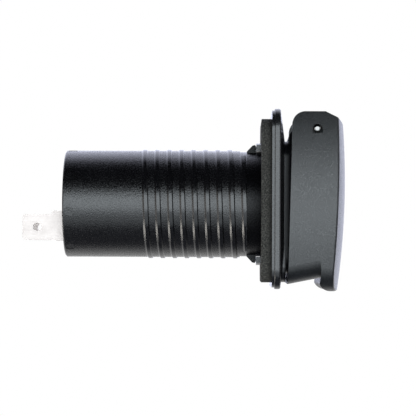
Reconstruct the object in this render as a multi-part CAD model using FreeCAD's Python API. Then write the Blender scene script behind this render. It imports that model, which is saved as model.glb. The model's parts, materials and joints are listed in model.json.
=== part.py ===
import FreeCAD, Part
import math
import os

os.makedirs("parts", exist_ok=True)

# All sizes are in millimetres. The barrel lies along X, with +X out of the panel towards
# the user, +Z up on the hinge side and the panel's face at X = 0.
V = FreeCAD.Vector
X_AXIS = V(1, 0, 0)
Y_AXIS = V(0, 1, 0)
Z_AXIS = V(0, 0, 1)
ORIGIN = V(0, 0, 0)

# Barrel: a round tube that goes through the panel and is clamped by a nut behind it.
barrel_r = 13.2
barrel_length = 48.3
barrel_wall = 1.6
rim_chamfer = 0.3
neck_drop = 0.25
neck_rear_x = -3.45
guide_rear_x = 0.9
guide_rise = 0.3
collar_rise = 0.8
collar_w = 1.4
collar_sink = 0.1
front_bore_drop = 2.2
barb_reach = 1.65
barb_half_w = 3.0
barb_front_x = -1.2
barb_root = 0.6
barb_slope = 0.9
barb_crest = 0.25
barb_crest_fall = 0.15
barb_nose = 0.5
pad_half_w = 5.7
pad_length = 1.75

# Rear plate with its ring of snap pips, and the two blade terminals it holds.
rear_plate_w = 2.5
rear_plate_recess = 0.4
pip_r = 1.1
pip_count = 8
pip_turn = 145.0
pip_gap = 0.02
pip_sink = 0.1
blade_w = 6.3
blade_thickness = 0.8
blade_drop_share = 0.447
blade_spread_share = 0.818
blade_reach = 10.4
blade_length = 7.3
blade_hole_r = 1.0
blade_chamfer = 0.5
shoulder_rise = 0.85
shoulder_fall = 0.15
tail_length = 5.4
tail_space = 0.6
slot_gap = 0.02
fit_gap = 0.05

# Square foam gasket between the bezel and the panel.
gasket_inset = 1.95
gasket_corner = 5.0
gasket_w = 2.5
gasket_hole_gap = 0.3
gasket_z = 0.5

# Bezel: square flange, central boss and hinge knuckles.
flange_margin = 6.65
flange_z = 0.87
flange_corner = 5.0
rear_step_w = 0.6
rear_step_inset = 0.4
rim_w = 1.5
rim_round = 0.45
rim_rear_round = 0.25
slope_run = 6.9
slope_rise = 1.1
slope_inset = 0.1
boss_wall = 1.0
boss_low_gap = 0.8
sill_gap = 0.5
sill_inset = 1.6
boss_corner = 4.0
boss_front_x = 8.5
guide_gap = 0.1
lug_rear_x = -1.15
lug_wall = 1.5
lug_half_w = 3.9

# Hinge of the flip cap.
pin_x = 13.35
pin_below_flange = 4.72
pin_r = 1.0
pin_gap = 0.08
pin_end_round = 0.65
pin_end_sink = 0.1
pin_mouth = 0.25
knuckle_r = 2.7
knuckle_inner_y = 3.4
knuckle_side_gap = 0.2
shoulder_back = 3.9
shoulder_round = 3.0
shoulder_drop = 2.6
web_sink = 0.8
web_front = 0.5
knuckle_sink = 0.3
shelf_rise = 0.4
shelf_front = 2.4
spring_rear_leg = 4.5
spring_front_leg = 3.9
spring_touch = 0.04
spring_wire = 0.6
spring_coil_r = 1.75
spring_pitch = 0.75
spring_turns = 5

# Flip cap.
cap_side_inset = 1.35
side_crown_r = 90.0
side_crown_z = -2.0
cap_wall = 1.8
ear_back = 6.0
ear_top = 4.17
ear_round = 3.2
slope_start = 2.0
slope_angle = 26.9
crown_r = 187.0
crown_x = 20.8
crown_z = 5.5
bow_r = 86.0
cap_back_low_x = 6.41
cap_low_inset = 1.18
cap_low_slope = 11.3
cap_low_corner = 4.8
lip_drop = 0.52
lip_back_x = 16.1
lip_tip_w = 3.0
lip_tip_round = 1.9
lip_scoop_r = 9.0
lip_corner = 6.5
lip_overlap = 1.0
cap_front_round = 0.5
slope_wall = 1.4
hinge_wall_drop = 3.6
skirt_inset = 0.6
skirt_wall = 1.4
seal_w = 1.2
seal_lip = 0.3
seal_gap = 0.1

# Twin ports and the converter behind them.
port_w = 13.1
port_h = 5.7
port_depth = 14.0
port_sheet = 0.3
port_margin = 1.39
port_sink = 0.6
face_sink = 0.2
face_w = 1.8
tongue_h = 1.84
tongue_w = 11.1
tongue_reach = 9.0
tongue_sink = 1.2
tongue_space = 0.75
contact_count = 4
contact_pitch = 2.3
contact_w = 1.0
contact_h = 0.2
contact_sink = 1.5
tongue_chamfer = 0.4
board_w = 1.2
converter_top_z = -1.0
converter_w = 1.6
converter_rear_gap = 1.4
board_gap = 0.03
core_space = 2.5
core_r = 5.0
core_h = 6.0
core_disc_h = 1.4
core_post_r = 2.5
winding_sink = 0.5
input_can_r = 4.0
input_can_h = 8.4
output_can_r = 3.15
output_can_h = 7.0
can_round = 0.4
chip_length = 5.0
chip_w = 6.0
chip_h = 1.6
diode_length = 4.6
diode_w = 2.6
diode_h = 2.2
resistor_length = 2.0
resistor_w = 1.2
resistor_h = 0.55
resistor_pitch = 3.0
resistor_count = 4
part_space = 1.0

# Places that follow from the sizes above.
bore_r = barrel_r - barrel_wall
front_bore_r = barrel_r - front_bore_drop
neck_r = barrel_r - neck_drop
guide_r = barrel_r + guide_rise
collar_r = barrel_r + collar_rise
lug_r = guide_r + guide_gap + lug_wall
gasket_hole_r = lug_r + gasket_hole_gap
boss_half = collar_r + boss_wall
flange_half = boss_half + flange_margin
flange_side = 2 * flange_half
gasket_side = flange_side - 2 * gasket_inset
flange_low_z = flange_z - flange_half
pin_z = flange_z + flange_half - pin_below_flange
cap_half_w = flange_half - cap_side_inset
cap_low_z = flange_low_z + cap_low_inset
lip_z = flange_low_z - lip_drop
hinge_wall_z = pin_z - hinge_wall_drop
skirt_out_r = collar_r - skirt_inset
skirt_in_r = skirt_out_r - skirt_wall
blade_z = -barrel_r * blade_drop_share
blade_spread = barrel_r * blade_spread_share
port_half_diagonal = math.sqrt(front_bore_r ** 2 - (port_w / 2) ** 2)
port_spacing = 2 * port_half_diagonal - port_h - 2 * port_margin


def save(node, shape):
    """Writes one clean solid, or a set of them, as the node's own file."""
    shape.exportStep("parts/" + node + ".step")


def cylinder_x(radius, x0, x1, y=0.0, z=0.0):
    """Round bar along X between two stations."""
    return Part.makeCylinder(radius, x1 - x0, V(x0, y, z), X_AXIS)


def cylinder_y(radius, y0, y1, x, z):
    """Round bar along Y between two stations."""
    return Part.makeCylinder(radius, y1 - y0, V(x, y0, z), Y_AXIS)


def box(x0, x1, y0, y1, z0, z1):
    """Block between two corners."""
    return Part.makeBox(x1 - x0, y1 - y0, z1 - z0, V(x0, y0, z0))


def turned(points):
    """Solid of revolution about X from (x, radius) corners."""
    corners = [V(x, 0, r) for x, r in points]
    face = Part.Face(Part.makePolygon(corners + corners[:1]))
    return face.revolve(ORIGIN, X_AXIS, 360)


def rounded_square(wide, high, corner, x, z_mid):
    """Wire of a rounded rectangle square to X."""
    a = wide / 2
    b = high / 2
    k = corner * (1 - math.sqrt(0.5))
    edges = []
    for turn in range(4):
        sy, sz = ((1, 1), (-1, 1), (-1, -1), (1, -1))[turn]
        along_y = V(x, sy * (a - corner), z_mid + sz * b)
        along_z = V(x, sy * a, z_mid + sz * (b - corner))
        middle = V(x, sy * (a - k), z_mid + sz * (b - k))
        ends = (along_z, along_y) if turn % 2 == 0 else (along_y, along_z)
        if edges:
            edges.append(Part.makeLine(edges[-1].Vertexes[-1].Point, ends[0]))
        edges.append(Part.Arc(ends[0], middle, ends[1]).toShape())
    edges.append(Part.makeLine(edges[-1].Vertexes[-1].Point, edges[0].Vertexes[0].Point))
    return Part.Wire(edges)


def rounded_block(wide, high, corner, x0, x1, z_mid=0.0):
    """Block with rounded corners, extruded along X."""
    wire = rounded_square(wide, high, corner, x0, z_mid)
    return Part.Face(wire).extrude(V(x1 - x0, 0, 0))


def across(edges, y0, y1):
    """Side outline in the XZ plane drawn out across Y."""
    face = Part.Face(Part.Wire(edges))
    face.translate(V(0, y0, 0))
    return face.extrude(V(0, y1 - y0, 0))


def outline(points):
    """Straight edges through (x, z) corners, closed."""
    corners = [V(x, 0, z) for x, z in points]
    return Part.makePolygon(corners + corners[:1]).Edges


# Tube with neck, guide and front collar. Two pads at top and bottom are cut down to
# the neck, and each carries a barb that snaps behind a lug of the bezel.
collar_front_x = boss_front_x - collar_sink
collar_rear_x = collar_front_x - collar_w
board_front_x = collar_front_x - port_sink - port_depth
tube = turned([
    (-barrel_length, bore_r),
    (-barrel_length, barrel_r - rim_chamfer),
    (-barrel_length + rim_chamfer, barrel_r),
    (neck_rear_x, barrel_r),
    (neck_rear_x, neck_r),
    (guide_rear_x, neck_r),
    (guide_rear_x, guide_r),
    (collar_rear_x, guide_r),
    (collar_rear_x, collar_r),
    (collar_front_x, collar_r),
    (collar_front_x, front_bore_r),
    (board_front_x, front_bore_r),
    (board_front_x, bore_r),
])
pad_ring = cylinder_x(barrel_r + 1, neck_rear_x - pad_length, neck_rear_x)
pad_ring = pad_ring.cut(cylinder_x(neck_r, -barrel_length, 0))
pad_slab = box(-barrel_length, 0, -pad_half_w, pad_half_w, -2 * barrel_r, 2 * barrel_r)
barrel = tube.cut(pad_ring.common(pad_slab))
barb_tip_r = neck_r + barb_reach
barb_outline = outline([
    (neck_rear_x - fit_gap, neck_r - barb_root),
    (neck_rear_x - fit_gap, neck_r),
    (barb_front_x - barb_slope, barb_tip_r - barb_crest_fall),
    (barb_front_x - barb_crest, barb_tip_r),
    (barb_front_x, barb_tip_r - barb_nose),
    (barb_front_x, neck_r - barb_root),
])
barb = across(barb_outline, -barb_half_w, barb_half_w)
barrel = barrel.fuse([barb, barb.mirror(ORIGIN, Z_AXIS)])
pip_x = -barrel_length + rear_plate_recess + rear_plate_w / 2


def pips(radius, r0, r1):
    """Ring of short radial pegs near the rear rim."""
    pegs = []
    for i in range(pip_count):
        peg = Part.makeCylinder(radius, r1 - r0, V(pip_x, r0, 0), Y_AXIS)
        peg.rotate(ORIGIN, X_AXIS, pip_turn + 360 * i / pip_count)
        pegs.append(peg)
    return pegs


barrel = barrel.cut(pips(pip_r + pip_gap, bore_r - 1, barrel_r + 1))
save("socket_barrel", barrel.removeSplitter())

# Rear plate, snapped into the barrel by its pips, with a slot for each terminal.
plate_rear_x = -barrel_length + rear_plate_recess
plate_front_x = plate_rear_x + rear_plate_w
blade_tip_x = -barrel_length - blade_reach
shoulder_x = blade_tip_x + blade_length
blade_top = blade_z + blade_w / 2
blade_low = blade_z - blade_w / 2
shoulder_top = blade_top + shoulder_rise
shoulder_low = blade_low - shoulder_fall
converter_low_z = converter_top_z - converter_w
plate = cylinder_x(bore_r - fit_gap, plate_rear_x, plate_front_x)
plate = plate.fuse(pips(pip_r, bore_r - 1.5, barrel_r - pip_sink))
for side in (-1, 1):
    y = side * blade_spread / 2
    half = blade_thickness / 2 + slot_gap
    low = shoulder_low - slot_gap
    high = shoulder_top + slot_gap
    plate = plate.cut(box(plate_rear_x - 1, plate_front_x + 1, y - half, y + half, low, high))
save("rear_plate", plate.removeSplitter())


# Stamped blade with a chamfered tip, a hole, wide shoulders and a tail under the board.
def terminal(y):
    tip = blade_chamfer
    tail_low = blade_z
    neck_x = plate_front_x + tail_space
    tail_x = neck_x + tail_length
    points = [
        (blade_tip_x, blade_low + tip),
        (blade_tip_x, blade_top - tip),
        (blade_tip_x + tip, blade_top),
        (shoulder_x, blade_top),
        (shoulder_x, shoulder_top),
        (neck_x, shoulder_top),
        (neck_x, converter_low_z),
        (tail_x, converter_low_z),
        (tail_x, tail_low),
        (neck_x, tail_low),
        (neck_x, shoulder_low),
        (shoulder_x, shoulder_low),
        (shoulder_x, blade_low),
        (blade_tip_x + tip, blade_low),
    ]
    half = blade_thickness / 2
    blade = across(outline(points), y - half, y + half)
    hole_x = blade_tip_x + blade_length / 2
    return blade.cut(cylinder_y(blade_hole_r, y - 1, y + 1, hole_x, blade_z))


save("positive_terminal", terminal(blade_spread / 2))
save("negative_terminal", terminal(-blade_spread / 2))

# Foam gasket.
gasket = rounded_block(gasket_side, gasket_side, gasket_corner, 0, gasket_w, gasket_z)
save("panel_gasket", gasket.cut(cylinder_x(gasket_hole_r, -1, gasket_w + 1)))

# Bezel flange: rear step, rim with a rounded front edge, then a shallow pyramid up to the boss.
# The boss reaches down into the cap, and a sill below it closes the gap behind the cap's edge.
rim_rear_x = gasket_w + rear_step_w
rim_front_x = rim_rear_x + rim_w
step_side = flange_side - 2 * rear_step_inset
step_corner = flange_corner - rear_step_inset
bezel = rounded_block(step_side, step_side, step_corner, gasket_w, rim_rear_x, flange_z)
rim = rounded_block(flange_side, flange_side, flange_corner, rim_rear_x, rim_front_x, flange_z)
front_edges = [e for e in rim.Edges if abs(e.CenterOfMass.x - rim_front_x) < 1e-6]
rim = rim.makeFillet(rim_round, front_edges)
rear_edges = [e for e in rim.Edges if abs(e.CenterOfMass.x - rim_rear_x) < 1e-6]
rim = rim.makeFillet(rim_rear_round, rear_edges)
low_side = flange_side - 2 * rim_round - slope_inset
high_side = low_side - 2 * slope_run
face_corner = flange_corner - rim_round
low_wire = rounded_square(low_side, low_side, face_corner, rim_front_x, flange_z)
high_wire = rounded_square(high_side, high_side, face_corner, rim_front_x + slope_rise, flange_z)
pyramid = Part.makeLoft([low_wire, high_wire], True, True)
boss_low_z = cap_low_z + cap_wall + boss_low_gap
boss_mid_z = (boss_half + boss_low_z) / 2
boss_high = boss_half - boss_low_z
boss = rounded_block(2 * boss_half, boss_high, boss_corner, rim_rear_x, boss_front_x, boss_mid_z)
sill_front_x = cap_back_low_x - sill_gap
sill_low_z = flange_low_z + sill_inset
sill = rounded_block(2 * boss_half, -sill_low_z, boss_corner, rim_rear_x, sill_front_x, sill_low_z / 2)
lug = cylinder_x(lug_r, lug_rear_x, rim_rear_x)
lug = lug.common(box(lug_rear_x, rim_rear_x, -lug_half_w, lug_half_w, -2 * lug_r, 2 * lug_r))
bezel = bezel.fuse([rim, pyramid, boss, sill, lug])
bezel = bezel.cut(cylinder_x(guide_r + guide_gap, lug_rear_x - 1, boss_front_x + 1))
bezel = bezel.cut(cylinder_x(collar_r + guide_gap, collar_rear_x, boss_front_x + 1))

# Hinge knuckles: a round lobe about the pin on a web with a rounded shoulder behind it.
web_low_z = boss_half - web_sink
shelf_back_x = pin_x - shoulder_back - shoulder_round
shoulder_z = pin_z - shoulder_drop
arc_top = V(pin_x - shoulder_back, 0, shoulder_z + shoulder_round)
arc_mid = V(
    pin_x - shoulder_back - shoulder_round * math.sqrt(0.5),
    0,
    shoulder_z + shoulder_round * math.sqrt(0.5),
)
arc_end = V(shelf_back_x, 0, shoulder_z)
web_corners = [
    arc_end,
    V(shelf_back_x, 0, web_low_z),
    V(pin_x - web_front, 0, web_low_z),
    V(pin_x, 0, pin_z - knuckle_r + knuckle_sink),
    V(pin_x, 0, shoulder_z + shoulder_round),
    arc_top,
]
web_edges = [Part.Arc(arc_top, arc_mid, arc_end).toShape()] + Part.makePolygon(web_corners).Edges
knuckle_outer_y = boss_half
shelf_z = boss_half + shelf_rise
shelf = box(shelf_back_x, pin_x - shelf_front, -knuckle_inner_y, knuckle_inner_y, web_low_z, shelf_z)
knuckles = [shelf]
for y0, y1 in ((-knuckle_outer_y, -knuckle_inner_y), (knuckle_inner_y, knuckle_outer_y)):
    knuckles.append(across(web_edges, y0, y1))
    knuckles.append(cylinder_y(knuckle_r, y0, y1, pin_x, pin_z))
bezel = bezel.fuse(knuckles)
bezel = bezel.cut(cylinder_y(pin_r, -knuckle_outer_y - 1, knuckle_outer_y + 1, pin_x, pin_z))
save("front_bezel", bezel.removeSplitter())


def side_y(z, inset=0.0):
    """Half width of the cap at a height, set in by a wall: its sides bow out a little."""
    r = side_crown_r - inset
    return cap_half_w - side_crown_r + math.sqrt(r * r - (z - side_crown_z) ** 2)


# Hinge pin with slightly domed ends, held by the knuckles.
pin_half = side_y(pin_z) - pin_end_sink
pin = cylinder_y(pin_r, -pin_half, pin_half, pin_x, pin_z)
pin_ends = [e for e in pin.Edges if abs(abs(e.CenterOfMass.y) - pin_half) < 1e-6]
pin = pin.makeFillet(pin_end_round, pin_ends)
save("hinge_pin", pin)


# Torsion spring round the pin: one leg lies on the bezel's shelf, the other presses the skirt.
def hinge_spring():
    wire_r = spring_wire / 2
    rear = V(-spring_rear_leg, shelf_z + wire_r + spring_touch - pin_z, 0)
    front = V(spring_front_leg, skirt_out_r + wire_r + spring_touch - pin_z, 0)
    start = math.atan2(rear.y, rear.x) + math.acos(spring_coil_r / rear.Length)
    stop = math.atan2(front.y, front.x) - math.acos(spring_coil_r / front.Length)
    sweep = 2 * math.pi * spring_turns + (stop - start)
    height = spring_pitch * sweep / (2 * math.pi)
    climb = spring_pitch / (2 * math.pi * spring_coil_r)
    helix = Part.makeHelix(spring_pitch, height, spring_coil_r)
    helix.rotate(ORIGIN, Z_AXIS, math.degrees(start))
    first = V(spring_coil_r * math.cos(start), spring_coil_r * math.sin(start), 0)
    last = V(spring_coil_r * math.cos(stop), spring_coil_r * math.sin(stop), height)
    rear_run = math.hypot(rear.x - first.x, rear.y - first.y)
    front_run = math.hypot(front.x - last.x, front.y - last.y)
    rear_tip = V(rear.x, rear.y, -climb * rear_run)
    front_tip = V(front.x, front.y, height + climb * front_run)
    path = Part.Wire([Part.makeLine(rear_tip, first)] + helix.Edges + [Part.makeLine(last, front_tip)])
    section = Part.Wire(Part.makeCircle(wire_r, rear_tip, first - rear_tip))
    coil = path.makePipeShell([section], True, False)
    coil.translate(V(0, 0, -height / 2))
    coil.rotate(ORIGIN, X_AXIS, 90)
    coil.translate(V(pin_x, 0, pin_z))
    return coil


save("hinge_spring", hinge_spring())


# Flip cap. The crowned front is an arc in the side view.
def crown(z, inset=0.0):
    """X of the front face at a height, set in by a wall."""
    r = crown_r - inset
    return crown_x - crown_r + math.sqrt(r * r - (z - crown_z) ** 2)


def crown_arc(z0, z1, inset=0.0):
    """Edge of the front face between two heights."""
    ends = [V(crown(z, inset), 0, z) for z in (z0, (z0 + z1) / 2, z1)]
    return Part.Arc(*ends).toShape()


def low_line(x, inset=0.0):
    """Z of the cap's sloping bottom wall, set in by a wall."""
    return cap_low_z + inset + (x - cap_back_low_x) * math.tan(math.radians(cap_low_slope))


def chain(start, points):
    """Open run of straight edges."""
    return Part.makePolygon([start] + [V(x, 0, z) for x, z in points]).Edges


def meet(height, reach, inset):
    """Height where the sloped top meets the crown, found by closing in on it."""
    z = height
    for step in range(40):
        z = height - (crown(z, inset) - reach) * math.tan(math.radians(slope_angle))
    return z


def front_outline(low, high, inset=0.0):
    """Block along X with the cap's bowed sides, between two heights."""
    middle = (low + high) / 2
    corners = [V(0, side_y(z, inset), z) for z in (low, middle, high)]
    across_corners = [V(0, -p.y, p.z) for p in corners]
    edges = [
        Part.Arc(*corners).toShape(),
        Part.makeLine(corners[2], across_corners[2]),
        Part.Arc(*reversed(across_corners)).toShape(),
        Part.makeLine(across_corners[0], corners[0]),
    ]
    return Part.Face(Part.Wire(edges)).extrude(V(crown_x + 5, 0, 0))


def bowed(edges):
    """Solid swept by a side view outline about an upright axis far behind the cap's front."""
    axis = V(crown_x - bow_r, 0, 0)
    half_turn = math.degrees(math.asin(1.1 * cap_half_w / (bow_r - crown_x)))
    face = Part.Face(Part.Wire(edges))
    face.rotate(axis, Z_AXIS, -half_turn)
    return face.revolve(axis, Z_AXIS, 2 * half_turn)


def front_dome(inset=0.0):
    """Block behind the cap's front face, which is crowned in the side view and bowed across."""
    low = lip_z - 1
    high = ear_z + 1
    rear = [(0, high), (0, low), (crown(low, inset), low)]
    return bowed([crown_arc(low, high, inset)] + chain(V(crown(high, inset), 0, high), rear))


ear_z = pin_z + ear_top
ear_back_x = pin_x - ear_back
slope_x = pin_x + slope_start
stock_x = crown_x + 1
slope_low_z = ear_z - (stock_x - slope_x) * math.tan(math.radians(slope_angle))
body_low_z = low_line(crown_x)
ear_mid = ear_round * (1 - math.sqrt(0.5))
ear_arc = Part.Arc(
    V(ear_back_x, 0, ear_z - ear_round),
    V(ear_back_x + ear_mid, 0, ear_z - ear_mid),
    V(ear_back_x + ear_round, 0, ear_z),
).toShape()
cap_corners = [
    (slope_x, ear_z),
    (stock_x, slope_low_z),
    (stock_x, low_line(stock_x)),
    (cap_back_low_x, cap_low_z),
    (ear_back_x, ear_z - ear_round),
]
cap_edges = [ear_arc] + chain(V(ear_back_x + ear_round, 0, ear_z), cap_corners)
cap = across(cap_edges, -cap_half_w, cap_half_w)
cap = cap.common(front_outline(lip_z, ear_z + 1))


def low_side_edges(shape):
    """The two edges where a shape's sloping bottom meets its sides."""
    found = []
    for edge in shape.Edges:
        box_of = edge.BoundBox
        if box_of.XLength > 5 and box_of.ZMax < body_low_z + 2 * cap_wall and box_of.YLength < 5:
            found.append(edge)
    return found


cap = cap.makeFillet(cap_low_corner, low_side_edges(cap))

# Thumb lip: the front wall runs on below the bottom wall and is scooped out behind.
lip_top_z = body_low_z + cap_low_corner + lip_overlap
scoop_top_z = low_line(lip_back_x) + cap_low_corner
lip_tip_x = crown(lip_z) - lip_tip_w
lip_tip_z = lip_z + lip_tip_round
lip_chord = V(lip_tip_x - lip_back_x, 0, lip_tip_z - scoop_top_z)
lip_bow = lip_chord.Length ** 2 / (8 * lip_scoop_r)
lip_mid = V((lip_tip_x + lip_back_x) / 2, 0, (lip_tip_z + scoop_top_z) / 2)
lip_side = V(-lip_chord.z, 0, lip_chord.x).normalize()
lip_mid = lip_mid + lip_side * lip_bow
lip_edges = [Part.Arc(V(lip_back_x, 0, scoop_top_z), lip_mid, V(lip_tip_x, 0, lip_tip_z)).toShape()]
tip_mid = lip_tip_round * (1 - math.sqrt(0.5))
tip_end = V(lip_tip_x + lip_tip_round, 0, lip_z)
tip_arc = Part.Arc(V(lip_tip_x, 0, lip_tip_z), V(lip_tip_x + tip_mid, 0, lip_z + tip_mid), tip_end)
lip_edges.append(tip_arc.toShape())
lip_corners = [
    (stock_x, lip_z),
    (stock_x, lip_top_z),
    (lip_back_x, lip_top_z),
    (lip_back_x, scoop_top_z),
]
lip_edges += chain(tip_end, lip_corners)
lip = bowed(lip_edges)
lip_outline = front_outline(lip_z, ear_z)
lip_outline = lip_outline.makeFillet(lip_corner, low_side_edges(lip_outline))
cap = cap.fuse(lip.common(lip_outline)).removeSplitter()
cap = cap.common(front_dome())

# The front face is rounded over all along its outline.
front_edges = []
for face in cap.Faces:
    if face.CenterOfMass.x > crown_x - 2 and face.Area > 600:
        front_edges += face.OuterWire.Edges
cap = cap.makeFillet(cap_front_round, front_edges)

# Hollow of the cap, wide below the hinge and narrower between the two thick ears.
hollow_low_x = crown(low_line(crown_x, cap_wall), cap_wall)
hollow_low_z = low_line(hollow_low_x, cap_wall)
hollow_edges = [crown_arc(hinge_wall_z, hollow_low_z, cap_wall)]
hollow_edges += chain(
    V(crown(hollow_low_z, cap_wall), 0, hollow_low_z),
    [
        (cap_back_low_x - 2, low_line(cap_back_low_x - 2, cap_wall)),
        (cap_back_low_x - 2, hinge_wall_z),
        (crown(hinge_wall_z, cap_wall), hinge_wall_z),
    ],
)
hollow = across(hollow_edges, -cap_half_w, cap_half_w)
hollow = hollow.common(front_outline(lip_z, ear_z, cap_wall))
hollow = hollow.common(front_dome(cap_wall))
hollow = hollow.makeFillet(cap_low_corner - cap_wall, low_side_edges(hollow))
lean = math.radians(slope_angle)
inner_ear_z = ear_z - slope_wall / math.cos(lean)
inner_top_z = meet(inner_ear_z, slope_x, cap_wall)
room_edges = [crown_arc(inner_top_z, hinge_wall_z - 1, cap_wall)]
room_edges += chain(
    V(crown(hinge_wall_z - 1, cap_wall), 0, hinge_wall_z - 1),
    [
        (cap_back_low_x - 2, hinge_wall_z - 1),
        (cap_back_low_x - 2, ear_z + 2),
        (slope_x, ear_z + 2),
        (slope_x, inner_ear_z),
        (crown(inner_top_z, cap_wall), inner_top_z),
    ],
)
room_half_w = knuckle_outer_y + knuckle_side_gap
room = across(room_edges, -room_half_w, room_half_w)
seal_front_x = collar_front_x + seal_w
skirt = cylinder_x(skirt_out_r, seal_front_x + seal_gap, crown_x)
skirt = skirt.cut(cylinder_x(skirt_in_r, 0, crown_x + 5))
inside = hollow.fuse(room.common(front_dome(cap_wall)))
cap = cap.cut(inside.cut(skirt))
for side in (-1, 1):
    y0 = side * (room_half_w - 1)
    y1 = side * (cap_half_w + 1)
    cap = cap.cut(cylinder_y(pin_r + pin_gap, min(y0, y1), max(y0, y1), pin_x, pin_z))
    seat = V(pin_x, side * (side_y(pin_z) - pin_mouth), pin_z)
    hole_r = pin_r + pin_gap
    depth = 2 * pin_mouth
    mouth = Part.makeCone(hole_r, hole_r + depth, depth, seat, Y_AXIS * side)
    cap = cap.cut(mouth)
save("flip_cap", cap.removeSplitter())

# Rubber ring on the collar, where the cap's skirt closes down.
seal = cylinder_x(skirt_out_r + seal_lip, collar_front_x, seal_front_x)
save("lid_seal", seal.cut(cylinder_x(skirt_in_r - seal_lip, 0, seal_front_x + 1)))

# Face plate with the two port windows.
face_front_x = collar_front_x - face_sink
face_rear_x = face_front_x - face_w
face_plate = cylinder_x(front_bore_r - fit_gap, face_rear_x, face_front_x)
port_rear_x = board_front_x
port_front_x = port_rear_x + port_depth
for level in (-1, 1):
    z = level * port_spacing / 2
    a = port_w / 2 + slot_gap
    b = port_h / 2 + slot_gap
    face_plate = face_plate.cut(box(face_rear_x - 1, face_front_x + 1, -a, a, z - b, z + b))
save("port_faceplate", face_plate)


# One port: a folded sheet shell, a tongue on its base block and a row of contacts.
def port_shell(z):
    shell = box(port_rear_x, port_front_x, -port_w / 2, port_w / 2, z - port_h / 2, z + port_h / 2)
    a = port_w / 2 - port_sheet
    b = port_h / 2 - port_sheet
    return shell.cut(box(port_rear_x - 1, port_front_x + 1, -a, a, z - b, z + b))


def tongue(z):
    a = port_w / 2 - port_sheet
    b = port_h / 2 - port_sheet
    block_x = port_front_x - tongue_sink - tongue_reach
    top = z + b - tongue_space
    block = box(port_rear_x, block_x, -a, a, z - b, z + b)
    blade = box(block_x - 1, block_x + tongue_reach, -tongue_w / 2, tongue_w / 2, top - tongue_h, top)
    nose_x = block_x + tongue_reach
    nose = [e for e in blade.Edges if abs(e.CenterOfMass.x - nose_x) < 1e-6 and e.Length > 5]
    return block.fuse(blade.makeChamfer(tongue_chamfer, nose)).removeSplitter()


def contacts(z):
    b = port_h / 2 - port_sheet
    block_x = port_front_x - tongue_sink - tongue_reach
    tip_x = block_x + tongue_reach - contact_sink
    low = z + b - tongue_space - tongue_h
    half = contact_w / 2
    strips = []
    for i in range(contact_count):
        y = (i - (contact_count - 1) / 2) * contact_pitch
        strips.append(box(block_x, tip_x, y - half, y + half, low - contact_h, low))
    return Part.makeCompound(strips)


for name, level in (("upper", 1), ("lower", -1)):
    z = level * port_spacing / 2
    save("usb_shell_" + name, port_shell(z))
    save("usb_tongue_" + name, tongue(z))
    save("usb_contacts_" + name, contacts(z))

# Port board, seated on the step of the bore, and the converter board that meets it.
board_rear_x = board_front_x - board_w
save("port_board", cylinder_x(bore_r - fit_gap, board_rear_x, board_front_x))
converter_rear_x = plate_front_x + converter_rear_gap
half = math.sqrt(bore_r ** 2 - converter_low_z ** 2) - board_gap
board = box(converter_rear_x, board_rear_x, -half, half, converter_low_z, converter_top_z)
save("converter_board", board)

# Drum inductor: a core of two discs on a post, with the winding between them.
core_x = board_rear_x - core_r - core_space


def upright(radius, x, z0, z1):
    """Round post standing on the board."""
    return Part.makeCylinder(radius, z1 - z0, V(x, 0, z0), Z_AXIS)


core_top = converter_top_z + core_h
core = upright(core_r, core_x, converter_top_z, converter_top_z + core_disc_h)
post = upright(core_post_r, core_x, converter_top_z, core_top)
core = core.fuse([post, upright(core_r, core_x, core_top - core_disc_h, core_top)])
save("inductor_core", core.removeSplitter())
winding = upright(core_r - winding_sink, core_x, converter_top_z + core_disc_h, core_top - core_disc_h)
save("inductor_winding", winding.cut(upright(core_post_r, core_x, converter_top_z, core_top)))

# Two capacitor cans in a row behind it.
output_x = core_x - core_r - output_can_r - part_space
input_x = output_x - output_can_r - input_can_r - part_space
for name, radius, height, x in (
    ("output_capacitor", output_can_r, output_can_h, output_x),
    ("input_capacitor", input_can_r, input_can_h, input_x),
):
    can = upright(radius, x, converter_top_z, converter_top_z + height)
    top_edges = [e for e in can.Edges if abs(e.CenterOfMass.z - converter_top_z - height) < 1e-6]
    save(name, can.makeFillet(can_round, top_edges))


# Small parts under the board.
def under_board(x, y, length, width, height):
    """Block on the underside of the converter board, placed by its middle."""
    z = converter_low_z
    return box(x - length / 2, x + length / 2, y - width / 2, y + width / 2, z - height, z)


save("converter_chip", under_board(core_x, 0, chip_length, chip_w, chip_h))
save("rectifier_diode", under_board(output_x, 0, diode_length, diode_w, diode_h))
resistors = []
for i in range(resistor_count):
    y = (i - (resistor_count - 1) / 2) * resistor_pitch
    resistors.append(under_board(core_x + core_r, y, resistor_length, resistor_w, resistor_h))
save("chip_resistors", Part.makeCompound(resistors))
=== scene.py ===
import json
import math

import bpy
import numpy as np
from mathutils import Matrix, Vector


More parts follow.
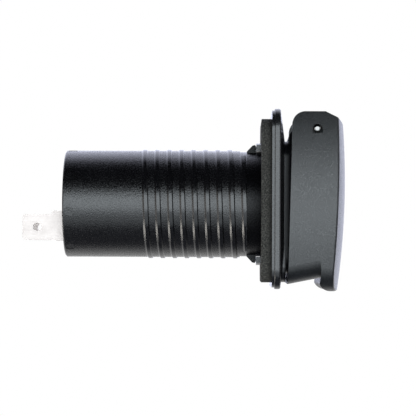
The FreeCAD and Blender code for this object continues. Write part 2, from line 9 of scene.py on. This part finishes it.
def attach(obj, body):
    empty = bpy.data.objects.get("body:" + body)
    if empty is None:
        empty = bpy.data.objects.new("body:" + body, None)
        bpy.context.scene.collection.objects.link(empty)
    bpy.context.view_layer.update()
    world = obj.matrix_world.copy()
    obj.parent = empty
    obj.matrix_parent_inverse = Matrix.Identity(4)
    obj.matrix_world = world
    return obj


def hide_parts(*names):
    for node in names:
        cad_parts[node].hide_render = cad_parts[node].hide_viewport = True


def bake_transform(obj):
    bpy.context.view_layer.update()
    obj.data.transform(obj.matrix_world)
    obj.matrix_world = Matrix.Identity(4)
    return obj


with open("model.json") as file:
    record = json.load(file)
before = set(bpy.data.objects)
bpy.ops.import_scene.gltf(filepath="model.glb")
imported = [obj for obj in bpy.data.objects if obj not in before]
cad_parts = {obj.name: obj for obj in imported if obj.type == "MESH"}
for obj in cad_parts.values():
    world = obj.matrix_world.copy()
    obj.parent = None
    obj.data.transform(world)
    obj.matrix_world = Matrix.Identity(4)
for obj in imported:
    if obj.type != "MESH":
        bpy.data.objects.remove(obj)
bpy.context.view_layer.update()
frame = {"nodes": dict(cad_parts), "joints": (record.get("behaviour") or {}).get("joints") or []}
nodes = frame["nodes"]
scene = bpy.context.scene


# The camera stands half a metre off the side of the socket, a little below its axis,
# as a catalogue picture of it is taken, with the barrel to the left and the cap to the right.
camera_data = bpy.data.cameras.new("side_camera")
camera_data.sensor_fit = "HORIZONTAL"
camera_data.sensor_width = 36.0
camera_data.lens = 167.0
camera = bpy.data.objects.new("side_camera", camera_data)
stand = Vector((-0.00515, -0.480, -0.01265))
aim = Vector((-0.0131, 0.0, -0.00097))
facing = (aim - stand).to_track_quat("-Z", "Y").to_matrix().to_4x4()
tilt = Matrix.Rotation(math.radians(0.24), 4, "Z")
camera.matrix_world = Matrix.Translation(stand) @ facing @ tilt
scene.collection.objects.link(camera)
scene.camera = camera
scene.view_settings.view_transform = "Standard"


# Barrel and its rear plate: injection-moulded ABS, black, from a tool with a fine
# spark-eroded grain. The snap barbs and the thread come out of the same tool, and the
# plate clips into the barrel's rear end.
def srgb(code):
    """Linear colour of an sRGB hex code."""
    parts = [int(code[i:i + 2], 16) / 255 for i in (1, 3, 5)]
    return [p / 12.92 if p <= 0.04045 else ((p + 0.055) / 1.055) ** 2.4 for p in parts] + [1.0]


def add(tree, kind, inputs=(), **settings):
    """Adds one node, applies its settings, and fills each named input with a value or a link."""
    made = tree.nodes.new(kind)
    for name, value in settings.items():
        setattr(made, name, value)
    for name, value in dict(inputs).items():
        if isinstance(value, bpy.types.NodeSocket):
            tree.links.new(value, made.inputs[name])
        else:
            made.inputs[name].default_value = value
    return made


def math_of(tree, operation, *values):
    """Output of one math node."""
    return add(tree, "ShaderNodeMath", enumerate(values), operation=operation).outputs["Value"]


def ranged(tree, value, low, high, start=0.0, stop=1.0):
    """A value that goes from low to high as the input goes from start to stop, and stays there."""
    ends = {"Value": value, "From Min": start, "From Max": stop, "To Min": low, "To Max": high}
    return add(tree, "ShaderNodeMapRange", ends).outputs["Result"]


def between(tree, share, colour, other):
    """Mix of two colours, each a list or a link, by a share of the second."""
    inputs = {"Factor": share, "A": colour, "B": other}
    return add(tree, "ShaderNodeMix", inputs, data_type="RGBA").outputs["Result"]


def pits_and_crests(tree, value, dark, light):
    """Colour ramp for a product of two noises, which lies mostly between 0.1 and 0.45."""
    made = add(tree, "ShaderNodeValToRGB", {"Fac": value})
    first, last = made.color_ramp.elements
    first.position, first.color = 0.1, srgb(dark)
    last.position, last.color = 0.45, srgb(light)
    return made.outputs["Color"]


def start_material(name):
    """New material with its tree, its surface shader and the object coordinates of its piece."""
    made = bpy.data.materials.new(name)
    made.use_nodes = True
    tree = made.node_tree
    place = add(tree, "ShaderNodeTexCoord").outputs["Object"]
    return made, tree, tree.nodes["Principled BSDF"], place


def moulded(name, dark, light, grain_mm, rough, depth_mm, shade_mm=None):
    """Moulded skin with spark-eroded grain: fine bumps, and a slight flow mottle in colour and gloss.
    Between two given X values it mirrors little, and less and less along the first part of the way:
    this is painted shade in its reflection, for the shade that falls there."""
    flow_mm = 6.0
    full_shine = 0.5
    shaded_shine = 0.14
    fall_share = 0.7
    made, tree, surface, place = start_material(name)
    fine = {"Vector": place, "Scale": 1000 / grain_mm, "Detail": 3.0, "Roughness": 0.6}
    grain = add(tree, "ShaderNodeTexNoise", fine).outputs["Fac"]
    broad = {"Vector": place, "Scale": 1000 / flow_mm, "Detail": 2.0}
    flow = add(tree, "ShaderNodeTexNoise", broad).outputs["Fac"]
    tint = pits_and_crests(tree, math_of(tree, "MULTIPLY", grain, flow), dark, light)
    gloss = ranged(tree, grain, rough - 0.1, rough + 0.16, 0.3, 0.7)
    bumps = {"Height": grain, "Strength": 1.0, "Distance": depth_mm / 1000}
    bump = add(tree, "ShaderNodeBump", bumps)
    surface.inputs["IOR"].default_value = 1.54
    tree.links.new(tint, surface.inputs["Base Color"])
    tree.links.new(gloss, surface.inputs["Roughness"])
    tree.links.new(bump.outputs["Normal"], surface.inputs["Normal"])
    if shade_mm:
        start, stop = shade_mm[0] / 1000, shade_mm[1] / 1000
        x = add(tree, "ShaderNodeSeparateXYZ", {0: place}).outputs["X"]
        within = math_of(tree, "COMPARE", x, (start + stop) / 2, (stop - start) / 2)
        fall = ranged(tree, x, shaded_shine, 0.0, start, start + fall_share * (stop - start))
        shine = add(tree, "ShaderNodeMix", {"Factor": within, "A": full_shine, "B": fall})
        tree.links.new(shine.outputs["Result"], surface.inputs["Specular IOR Level"])
    return made


def dress(material, *names):
    """Puts one material on CAD nodes."""
    for name in names:
        nodes[name].data.materials.clear()
        nodes[name].data.materials.append(material)


# Grained ABS: near black, with a coarse grain. On the neck its reflection is turned down as painted
# shade, for the shade of the flange.
neck_x = -3.45
neck_shade_mm = (neck_x, 6.0)
grained_abs = moulded("grained_abs", "#040405", "#0b0b0d", 0.32, 0.22, 0.07, neck_shade_mm)
dress(grained_abs, "socket_barrel", "rear_plate")


# Thread: a right-handed helical rib of the same moulding. Its crest is flat and smooth, its rear
# flank wide and its front flank steep. It stops at the two flats that carry the snap barbs, and
# is cut square at the neck.
shank_r = 13.2
flat_half_w = 5.7
flat_x = neck_x - 1.75
flat_fade_w = 0.3
rib_pitch = 3.0
rib_height = 0.3
rib_turns = 8.85
rib_top_x = -28.7
rib_foot = 0.5
rib_dive_w = 0.1
rib_crest_half = 0.37
rib_rise_w = 0.5
rib_fall_w = 0.24
rib_end_angle = 0.4
rib_neck_gap = 0.01


def thread_surface(along, across):
    """Helical rib in millimetres. Along u the angle grows and X climbs one pitch a turn, held back
    at the neck. Across v the height is 1 on the crest and falls on each flank as half a cosine wave
    to 0, and past it the sheet dives into the barrel. The height fades out at both ends of the rib
    and on the flats."""
    rear_edge = -rib_crest_half - rib_rise_w
    front_edge = rib_crest_half + rib_fall_w
    profile = np.linspace(rear_edge, front_edge, across)
    offset = np.concatenate([[rear_edge - rib_dive_w], profile, [front_edge + rib_dive_w]])
    flank_w = np.where(offset < 0, rib_rise_w, rib_fall_w)
    down = np.clip((np.abs(offset) - rib_crest_half) / flank_w, 0, 1)
    share = 0.5 + 0.5 * np.cos(math.pi * down)
    share[[0, -1]] = -1.0
    angle = np.linspace(0, 2 * math.pi * rib_turns, along)[:, None]
    x = rib_top_x + rib_pitch * (angle / (2 * math.pi) - 0.25)
    past_flat = np.clip((np.abs(shank_r * np.cos(angle)) - flat_half_w) / flat_fade_w, 0, 1)
    clear = np.where(x + front_edge < flat_x, 1.0, past_flat)
    ends = np.clip(angle / rib_end_angle, 0, 1) * np.clip((angle[-1] - angle) / rib_end_angle, 0, 1)
    fade = clear * ends
    full = np.where(share > 0, share * rib_height, share * rib_foot)
    r = shank_r + full * fade - rib_foot * (1 - fade)
    x = np.minimum(x + offset, neck_x - rib_neck_gap)
    return np.stack([x, r * np.cos(angle), r * np.sin(angle)], -1)


def sheet_mesh(name, grid):
    """Quads over a grid of points in millimetres, each joined to the next along u and v."""
    rows, columns = grid.shape[:2]
    i, j = np.meshgrid(np.arange(rows - 1), np.arange(columns - 1), indexing="ij")
    corner = (i * columns + j).ravel()
    quads = np.stack([corner, corner + columns, corner + columns + 1, corner + 1], 1)
    mesh = bpy.data.meshes.new(name)
    mesh.from_pydata(grid.reshape(-1, 3) / 1000, [], quads.tolist())
    mesh.shade_smooth()
    return mesh


thread_mesh = sheet_mesh("barrel_thread", thread_surface(1800, 23))
thread = bpy.data.objects.new("barrel_thread", thread_mesh)
# Polished ABS: the barrel's black, with a shallower grain.
polished_abs = moulded("polished_abs", "#040405", "#0b0b0d", 0.32, 0.18, 0.02)
thread.data.materials.append(polished_abs)
scene.collection.objects.link(thread)
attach(thread, "socket")


# Blade terminals: stamped from half-hard brass strip and tin plated, so they are pale
# silver with faint rolling lines along the strip and a slightly dull sheared edge.
# They are pushed through slots in the rear plate.
roll_mm = 25.0
roll_line_mm = 0.12
tin_cloud_mm = 1.8
bright_tin, tree, surface, place = start_material("bright_tin")
stretch = (1000 / roll_mm, 1000 / roll_line_mm, 1000 / roll_line_mm)
along = add(tree, "ShaderNodeMapping", {"Vector": place, "Scale": stretch}).outputs["Vector"]
lines = add(tree, "ShaderNodeTexNoise", {"Vector": along, "Scale": 1.0, "Detail": 2.0}).outputs["Fac"]
clouds = {"Vector": place, "Scale": 1000 / tin_cloud_mm, "Detail": 3.0}
cloud = add(tree, "ShaderNodeTexNoise", clouds).outputs["Fac"]
tint = between(tree, cloud, srgb("#beb6b2"), srgb("#d3ccc8"))
bump = add(tree, "ShaderNodeBump", {"Height": lines, "Strength": 0.5, "Distance": 0.000004})
surface.inputs["Metallic"].default_value = 1.0
tree.links.new(tint, surface.inputs["Base Color"])
tree.links.new(ranged(tree, lines, 0.5, 0.66), surface.inputs["Roughness"])
tree.links.new(bump.outputs["Normal"], surface.inputs["Normal"])
dress(bright_tin, "positive_terminal", "negative_terminal")


# Boards and small parts sealed in the barrel: glass-fibre laminate under green resist,
# a ferrite drum with enamelled wire, two drawn cans and a few moulded chips, all soldered on.
def plain_metal(name, colour, marks_mm, glossy, dull, detail=2.0):
    """Metal of one colour with marks of a given size along X, Y and Z, seen only in its gloss."""
    made, tree, surface, place = start_material(name)
    stretch = tuple(1000 / size for size in marks_mm)
    along = add(tree, "ShaderNodeMapping", {"Vector": place, "Scale": stretch}).outputs["Vector"]
    pattern = {"Vector": along, "Scale": 1.0, "Detail": detail}
    marks = add(tree, "ShaderNodeTexNoise", pattern).outputs["Fac"]
    surface.inputs["Base Color"].default_value = srgb(colour)
    surface.inputs["Metallic"].default_value = 1.0
    tree.links.new(ranged(tree, marks, glossy, dull), surface.inputs["Roughness"])
    return made


# Solder resist: green lacquer over the weave of the glass cloth.
weave_mm = 0.8
green_resist, tree, surface, place = start_material("green_resist")
cloth = {"Vector": place, "Scale": 1000 / weave_mm, "Detail": 1.0}
weave = add(tree, "ShaderNodeTexNoise", cloth).outputs["Fac"]
tint = between(tree, weave, srgb("#0f3d22"), srgb("#1b5a33"))
tree.links.new(tint, surface.inputs["Base Color"])
surface.inputs["Roughness"].default_value = 0.3
dress(green_resist, "port_board", "converter_board")

# Pressed ferrite: dark grey and matte, ground on its ends.
pressed_ferrite = moulded("pressed_ferrite", "#18181a", "#2c2c2e", 0.3, 0.6, 0.02)
dress(pressed_ferrite, "inductor_core")

# Chip epoxy: filled resin, black and matte.
chip_epoxy = moulded("chip_epoxy", "#101011", "#1c1c1e", 0.2, 0.5, 0.01)
dress(chip_epoxy, "converter_chip", "rectifier_diode", "chip_resistors")

# Enamelled copper: round wire under clear varnish, laid turn by turn, with bumps along the turns.
# Its colour is painted shade in the gaps between turns and a painted sheen on each turn.
wire_gap_mm = 0.5
enamelled_copper, tree, surface, place = start_material("enamelled_copper")
laid = {"Vector": place, "Scale": 1000 / wire_gap_mm / (2 * math.pi)}
turn_relief_and_shade = add(tree, "ShaderNodeTexWave", laid, bands_direction="Z").outputs["Fac"]
tint = between(tree, turn_relief_and_shade, srgb("#6a2e14"), srgb("#c26a35"))
bump = add(tree, "ShaderNodeBump", {"Height": turn_relief_and_shade, "Distance": 0.0001})
surface.inputs["Metallic"].default_value = 1.0
surface.inputs["Roughness"].default_value = 0.3
tree.links.new(tint, surface.inputs["Base Color"])
tree.links.new(bump.outputs["Normal"], surface.inputs["Normal"])
dress(enamelled_copper, "inductor_winding")

# Drawn can: bare aluminium with fine draw lines along its height.
drawn_can = plain_metal("drawn_can", "#b9babd", (0.15, 0.15, 16.7), 0.25, 0.4)
dress(drawn_can, "input_capacitor", "output_capacitor")


# Ports: shells folded from nickel-plated steel sheet, tongues of white nylon, and gilt
# contact strips. The black face plate round them is moulded like the barrel and pressed in.
nickel_sheet = plain_metal("nickel_sheet", "#c9c5bb", (16.7, 0.15, 0.15), 0.2, 0.36)
dress(nickel_sheet, "usb_shell_upper", "usb_shell_lower")
# White nylon: unpigmented, smooth from the tool.
white_nylon = moulded("white_nylon", "#d8d7d2", "#eceae6", 0.3, 0.45, 0.004)
dress(white_nylon, "usb_tongue_upper", "usb_tongue_lower")
# Gilt brass: a thin gold flash, softly cloudy.
gilt_brass = plain_metal("gilt_brass", "#e0b463", (0.6, 0.6, 0.6), 0.18, 0.34)
dress(gilt_brass, "usb_contacts_upper", "usb_contacts_lower")
dress(grained_abs, "port_faceplate")


# Gasket: a square die-cut from closed-cell foam rubber, slipped over the barrel. Its cut edges
# show open cells, so it is matte and lighter than the plastic, with dark pits a few tenths of a
# millimetre wide. Towards the bezel it is darkened with painted shade, for the shade under the rim.
cell_mm = 0.3
fuzz_mm = 0.25
bezel_shade_x = (0.0012, 0.0024)
cell_foam, tree, surface, place = start_material("cell_foam")
pores = {"Vector": place, "Scale": 1000 / cell_mm, "Randomness": 1.0}
cells = add(tree, "ShaderNodeTexVoronoi", pores).outputs["Distance"]
torn = {"Vector": place, "Scale": 1000 / fuzz_mm, "Detail": 4.0, "Roughness": 0.7}
fuzz = add(tree, "ShaderNodeTexNoise", torn).outputs["Fac"]
pits = math_of(tree, "MULTIPLY", cells, fuzz)
tint = pits_and_crests(tree, pits, "#121211", "#504f4b")
x = add(tree, "ShaderNodeSeparateXYZ", {0: place}).outputs["X"]
# Painted shade: the colour darkens towards the bezel, where the rim's overhang shades the foam.
tint = between(tree, ranged(tree, x, 0.0, 0.75, *bezel_shade_x), tint, srgb("#0c0c0b"))
bump = add(tree, "ShaderNodeBump", {"Height": pits, "Strength": 1.0, "Distance": 0.0002})
surface.inputs["Roughness"].default_value = 0.95
surface.inputs["Specular IOR Level"].default_value = 0.25
tree.links.new(tint, surface.inputs["Base Color"])
tree.links.new(bump.outputs["Normal"], surface.inputs["Normal"])
dress(cell_foam, "panel_gasket")


# Bezel: the square flange with its stepped rim, boss and hinge knuckles is one ABS moulding,
# smoother than the barrel, so that its edges catch thin lines of light. Just behind the cap the
# boss's reflection is turned down as painted shade, for the shadow gap under the closed cap.
boss_shade_mm = (5.6, 7.4)
smooth_abs = moulded("smooth_abs", "#0a0a0c", "#141416", 0.22, 0.24, 0.008, boss_shade_mm)
dress(smooth_abs, "front_bezel")


# Seal: a plain black ring of moulded rubber with a soft, matte skin,
# pressed on the barrel's collar under the cap's skirt.
seal_rubber = moulded("seal_rubber", "#121213", "#1d1d1e", 0.4, 0.62, 0.01)
dress(seal_rubber, "lid_seal")


# Flip cap: a satin ABS moulding that turns on the pin. Its flat sides carry an even etched grain
# that greys towards the light, and its crowned front and rounded edges look paler.
satin_abs = moulded("satin_abs", "#0b0d0e", "#16181a", 0.26, 0.32, 0.04)
dress(satin_abs, "flip_cap")


# Hinge pin: a length of ground and polished stainless wire, pressed through the knuckles
# and seen end-on in the cap's ears.
polished_wire = plain_metal("polished_wire", "#7c7b79", (0.2, 0.2, 0.2), 0.08, 0.22, 4.0)
dress(polished_wire, "hinge_pin")


# Torsion spring: hard-drawn wire wound round the pin. One leg lies on the bezel's shelf, the
# other rests on the cap's skirt. Opening the cap would wind the coil up, but here it is drawn at rest
# and does not move with the cap.
pin_at = np.array(next(j for j in frame["joints"] if j["name"] == "hinge")["pos_m"]) * 1000
wire_r = 0.3
coil_r = 1.75
coil_pitch = 0.75
coil_turns = 5
shelf_z = 15.4
skirt_r = 13.4
shelf_touch = 0.03
skirt_touch = 0.05
rear_leg = np.array([-4.5, shelf_z + wire_r + shelf_touch - pin_at[2]])
front_leg = np.array([3.9, skirt_r + wire_r + skirt_touch - pin_at[2]])
leg_points = 12


def spring_path(count):
    """Centre line: a straight leg that meets the coil at a tangent, a helix about Y, and a second
    straight leg off it at a tangent. Y falls by one pitch for each turn of the angle."""
    start = math.atan2(rear_leg[1], rear_leg[0]) + math.acos(coil_r / np.hypot(*rear_leg))
    stop = math.atan2(front_leg[1], front_leg[0]) - math.acos(coil_r / np.hypot(*front_leg))
    turn = np.linspace(start, stop + 2 * math.pi * coil_turns, count)
    coil = coil_r * np.stack([np.cos(turn), np.sin(turn)], 1)
    share = np.linspace(0, 1, leg_points, endpoint=False)[:, None]
    lead_in = rear_leg + share * (coil[0] - rear_leg)
    lead_out = coil[-1] + (share + 1 / leg_points) * (front_leg - coil[-1])
    flat = np.concatenate([lead_in, coil, lead_out])
    run = np.concatenate([[0], np.cumsum(np.hypot(*np.diff(flat, axis=0).T))])
    fall = -run * coil_pitch / (2 * math.pi * coil_r)
    fall = fall - (fall[leg_points] + fall[-leg_points - 1]) / 2
    return np.stack([pin_at[0] + flat[:, 0], fall, pin_at[2] + flat[:, 1]], 1) / 1000


def tube_mesh(name, path, radius, around):
    """A circle of the given radius carried along a path, square to it: point plus radius times the
    cosine of v on the sideways axis and the sine of v on the axis square to both. Its ends close
    on the path's end points."""
    ahead = np.gradient(path, axis=0)
    ahead /= np.linalg.norm(ahead, axis=1)[:, None]
    side = np.array([0.0, 1.0, 0.0]) - ahead * ahead[:, 1:2]
    side /= np.linalg.norm(side, axis=1)[:, None]
    up = np.cross(ahead, side)
    v = np.linspace(0, 2 * math.pi, around, endpoint=False)
    ring = np.cos(v)[None, :, None] * side[:, None] + np.sin(v)[None, :, None] * up[:, None]
    points = np.concatenate([(path[:, None] + radius * ring).reshape(-1, 3), path[:1], path[-1:]])
    j = np.arange(around)
    k = (j + 1) % around
    first = (np.arange(len(path) - 1) * around)[:, None]
    second = first + around
    quads = np.stack([first + j, first + k, second + k, second + j], -1).reshape(-1, 4)
    last = (len(path) - 1) * around
    first_cap = np.stack([np.full(around, len(points) - 2), k, j], 1)
    last_cap = np.stack([np.full(around, len(points) - 1), last + j, last + k], 1)
    mesh = bpy.data.meshes.new(name)
    mesh.from_pydata(points, [], quads.tolist() + first_cap.tolist() + last_cap.tolist())
    mesh.shade_smooth()
    return mesh


# Drawn wire: bare carbon steel, grey, with die marks too fine to see singly.
drawn_wire = plain_metal("drawn_wire", "#9d9c9a", (0.15, 0.15, 0.15), 0.22, 0.4, 3.0)
dress(drawn_wire, "hinge_spring")
spring_line = spring_path(300)
spring_mesh = tube_mesh("closing_spring", spring_line, wire_r / 1000, 14)
spring = bpy.data.objects.new("closing_spring", spring_mesh)
spring.data.materials.append(drawn_wire)
scene.collection.objects.link(spring)
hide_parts("hinge_spring")
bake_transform(spring)


# Studio: a pale floor far below the socket. It is painted grey, and looks white from the camera
# and, well behind the socket, in mirrored light.
floor_z = -0.6
floor_half = 6.0
floor_glow = 0.97
floor_fade_y = (0.16, 0.45)
floor_paint, tree, surface, place = start_material("floor_paint")
surface.inputs["Base Color"].default_value = srgb("#68686c")
surface.inputs["Roughness"].default_value = 0.9
path = add(tree, "ShaderNodeLightPath").outputs
y = add(tree, "ShaderNodeSeparateXYZ", {0: place}).outputs["Y"]
mirrored = math_of(tree, "MAXIMUM", path["Is Glossy Ray"], path["Is Transmission Ray"])
mirrored = math_of(tree, "MULTIPLY", mirrored, ranged(tree, y, 0.0, 1.0, *floor_fade_y))
seen = math_of(tree, "MAXIMUM", path["Is Camera Ray"], mirrored)
share = math_of(tree, "MULTIPLY", seen, floor_glow)
glow = add(tree, "ShaderNodeEmission", {"Color": (1.0, 1.0, 1.0, 1.0), "Strength": 1.0})
shaders = {0: share, 1: surface.outputs["BSDF"], 2: glow.outputs["Emission"]}
mixed = add(tree, "ShaderNodeMixShader", shaders).outputs["Shader"]
tree.links.new(mixed, tree.nodes["Material Output"].inputs["Surface"])
floor_corners = np.array([(-1, -1, 0), (1, -1, 0), (1, 1, 0), (-1, 1, 0)]) * floor_half
floor_mesh = bpy.data.meshes.new("floor")
floor_mesh.from_pydata(floor_corners + (0, 0, floor_z), [], [(0, 1, 2, 3)])
floor = bpy.data.objects.new("floor", floor_mesh)
floor.data.materials.append(floor_paint)
scene.collection.objects.link(floor)

# White room: a cool backdrop behind the socket, dark at its sides and in front,
# and plain white where the camera sees it.
backdrop_y = (0.15, 0.5)
backdrop_glow = 2.2
backdrop_x = (0.45, 0.75)
side_share = 0.1
room_glow = 0.02
world = bpy.data.worlds.new("white_room")
scene.world = world
world.use_nodes = True
tree = world.node_tree
tree.nodes.clear()
path = add(tree, "ShaderNodeLightPath").outputs
generated = add(tree, "ShaderNodeTexCoord").outputs["Generated"]
way = add(tree, "ShaderNodeSeparateXYZ", {0: generated}).outputs
rear = ranged(tree, way["Y"], 0.0, backdrop_glow, *backdrop_y)
middle = ranged(tree, math_of(tree, "ABSOLUTE", way["X"]), 1.0, side_share, *backdrop_x)
room = math_of(tree, "MAXIMUM", math_of(tree, "MULTIPLY", rear, middle), room_glow)
surround = add(tree, "ShaderNodeBackground", {"Color": (0.8, 0.83, 1.0, 1.0), "Strength": room})
white = add(tree, "ShaderNodeBackground", {"Color": (1.0, 1.0, 1.0, 1.0), "Strength": 1.0})
shaders = {0: path["Is Camera Ray"], 1: surround.outputs[0], 2: white.outputs[0]}
mixed = add(tree, "ShaderNodeMixShader", shaders).outputs["Shader"]
add(tree, "ShaderNodeOutputWorld", {"Surface": mixed})


# Lamps: a broad soft box in front, round the camera, a weaker one below it, a panel on the right
# for the cap's front, and on the left a panel and a small warm card that glint on the thread.
def soft_box(name, place, aim_at, size, power, colour):
    """Rectangular area lamp aimed at a point."""
    lamp = bpy.data.lights.new(name, "AREA")
    lamp.shape = "RECTANGLE"
    lamp.size, lamp.size_y = size
    lamp.energy = power
    lamp.color = colour
    made = bpy.data.objects.new(name, lamp)
    turn = (Vector(aim_at) - Vector(place)).to_track_quat("-Z", "Y").to_matrix().to_4x4()
    made.matrix_world = Matrix.Translation(place) @ turn
    scene.collection.objects.link(made)


barrel_middle = (-0.01, 0.0, 0.0)
thread_middle = (-0.02, 0.0, 0.0)
cap_middle = (0.01, 0.0, 0.0)
cool = (0.92, 1.0, 1.05)
soft_box("front_box", (-0.01, -0.62, 0.035), barrel_middle, (0.7, 0.40), 3.8, cool)
soft_box("low_box", (-0.01, -0.52, -0.30), barrel_middle, (0.7, 0.34), 0.9, cool)
soft_box("right_panel", (0.55, -0.22, 0.12), cap_middle, (0.4, 0.5), 0.8, (0.94, 0.97, 1.0))
soft_box("left_panel", (-0.38, -0.20, -0.05), thread_middle, (0.25, 0.3), 0.6, (1.0, 0.98, 0.95))
soft_box("left_card", (-0.32, -0.036, -0.257), thread_middle, (0.2, 0.2), 1.0, (1.0, 0.97, 0.9))
